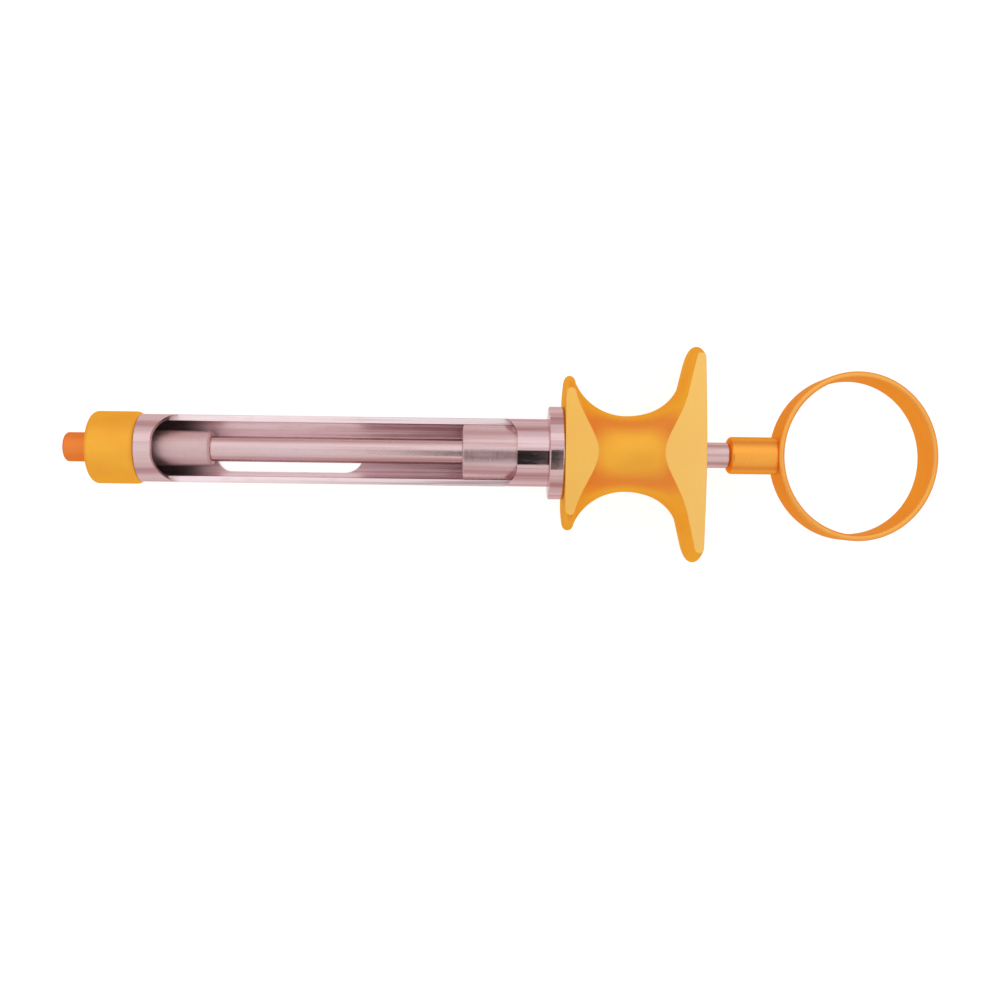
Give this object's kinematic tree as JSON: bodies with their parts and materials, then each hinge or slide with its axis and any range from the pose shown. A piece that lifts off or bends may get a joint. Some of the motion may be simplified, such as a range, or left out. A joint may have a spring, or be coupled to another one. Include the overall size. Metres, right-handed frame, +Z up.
{
  "type": "aspirating dental syringe",
  "caption": "Side-loading dental cartridge syringe: windowed chrome barrel, gold screw-on needle adaptor, waisted finger grip, sprung cartridge guide and thumb-ring plunger.",
  "frame": {"origin": "centre of the needle tip's front face, on the syringe's axis", "axes": "+X along the axis from the needle tip towards the thumb ring, +Z up out of the loading window, +Y completes the right-handed frame, in the plane of the thumb ring"},
  "size_m": [0.1531, 0.038, 0.0166],
  "materials": {
    "gold_anodised": "satin gold anodised",
    "chrome_plate": "bright chrome plate",
    "steel": "ground stainless steel",
    "bearing_bronze": "plain bronze",
    "black_rubber": "matt rubber",
    "sealing_washer": "white fluoropolymer"
  },
  "bodies": {
    "syringe_frame": {"barrel": "chrome_plate", "lock_collar": "chrome_plate", "finger_grip": "gold_anodised", "rear_bearing": "bearing_bronze", "rod_friction_ring": "black_rubber", "spring_seat": "steel", "guide_spring": "steel"},
    "washer": {"adaptor_washer": "sealing_washer"},
    "adaptor": {"needle_adaptor": "gold_anodised"},
    "cartridge_guide": {"guide_bush": "chrome_plate", "guide_bearing": "bearing_bronze"},
    "plunger": {"plunger_rod": "steel", "piston_head": "chrome_plate", "harpoon": "steel"},
    "ring": {"ring_stem": "gold_anodised", "thumb_ring": "gold_anodised"}
  },
  "joints": [
    {"name": "plunger_slide", "type": "slide", "parent": "syringe_frame", "child": "plunger", "axis": [1, 0, 0], "range_m": [0, 0.0624]},
    {"name": "guide_slide", "type": "slide", "parent": "syringe_frame", "child": "cartridge_guide", "axis": [1, 0, 0], "range_m": [0, 0.0085], "stiffness_N_per_m": 500, "springref_m": -0.004, "deforming": ["guide_spring"]},
    {"name": "ring_turn", "type": "hinge", "parent": "plunger", "child": "ring", "pos_m": [0.117, 0, 0], "axis": [1, 0, 0], "continuous": true},
    {"name": "adaptor_travel", "type": "slide", "parent": "syringe_frame", "child": "washer", "axis": [-1, 0, 0], "range_m": [0, 0.005]},
    {"name": "adaptor_unscrew", "type": "hinge", "parent": "washer", "child": "adaptor", "pos_m": [0, 0, 0], "axis": [-1, 0, 0], "range_deg": [0, 1800]}
  ],
  "couplings": [
    {"joint": "adaptor_unscrew", "follows": "adaptor_travel", "rad_per_m": 6283.2}
  ]
}
